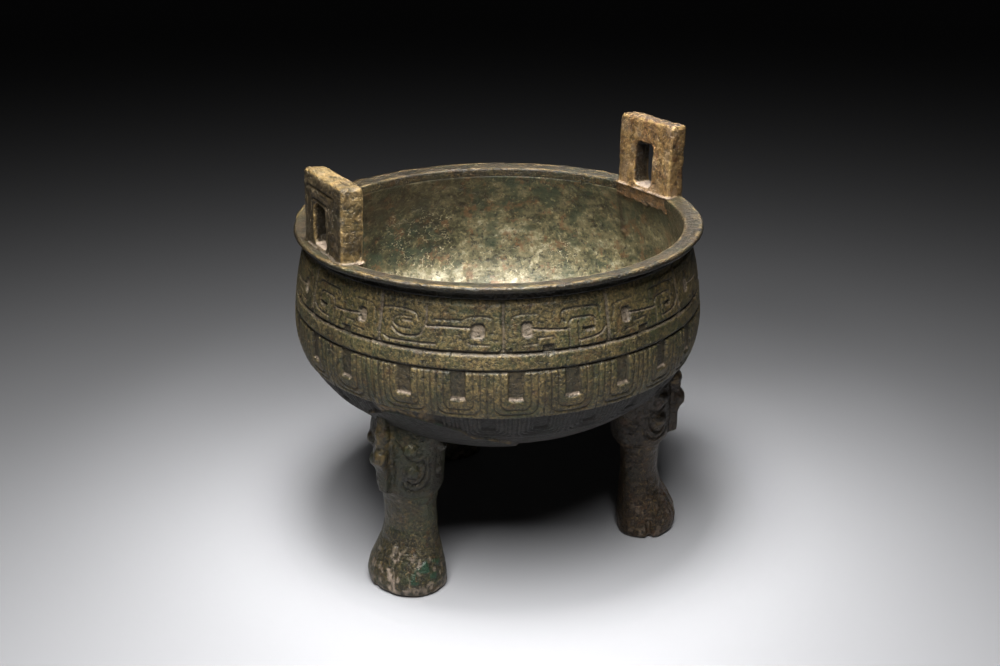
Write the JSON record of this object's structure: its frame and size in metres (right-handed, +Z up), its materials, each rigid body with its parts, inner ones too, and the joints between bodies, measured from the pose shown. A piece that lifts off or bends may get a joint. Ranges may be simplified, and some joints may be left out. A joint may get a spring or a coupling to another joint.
{
  "type": "bronze ding vessel",
  "caption": "Round, deep bronze cooking vessel on hoofed legs with animal masks, with a flat rim, upright loop handles, a dragon band and hanging scales cast in low relief.",
  "frame": {"origin": "on the floor under the middle of the bowl", "axes": "+Z up along the bowl's axis; the loop handles stand at +X and -X"},
  "size_m": [0.3633, 0.3626, 0.3662],
  "materials": {
    "bronze": "olive and brown patina, worn to gold brown on the rim and handles"
  },
  "bodies": {
    "root": {"ding_vessel": "bronze"}
  },
  "joints": []
}
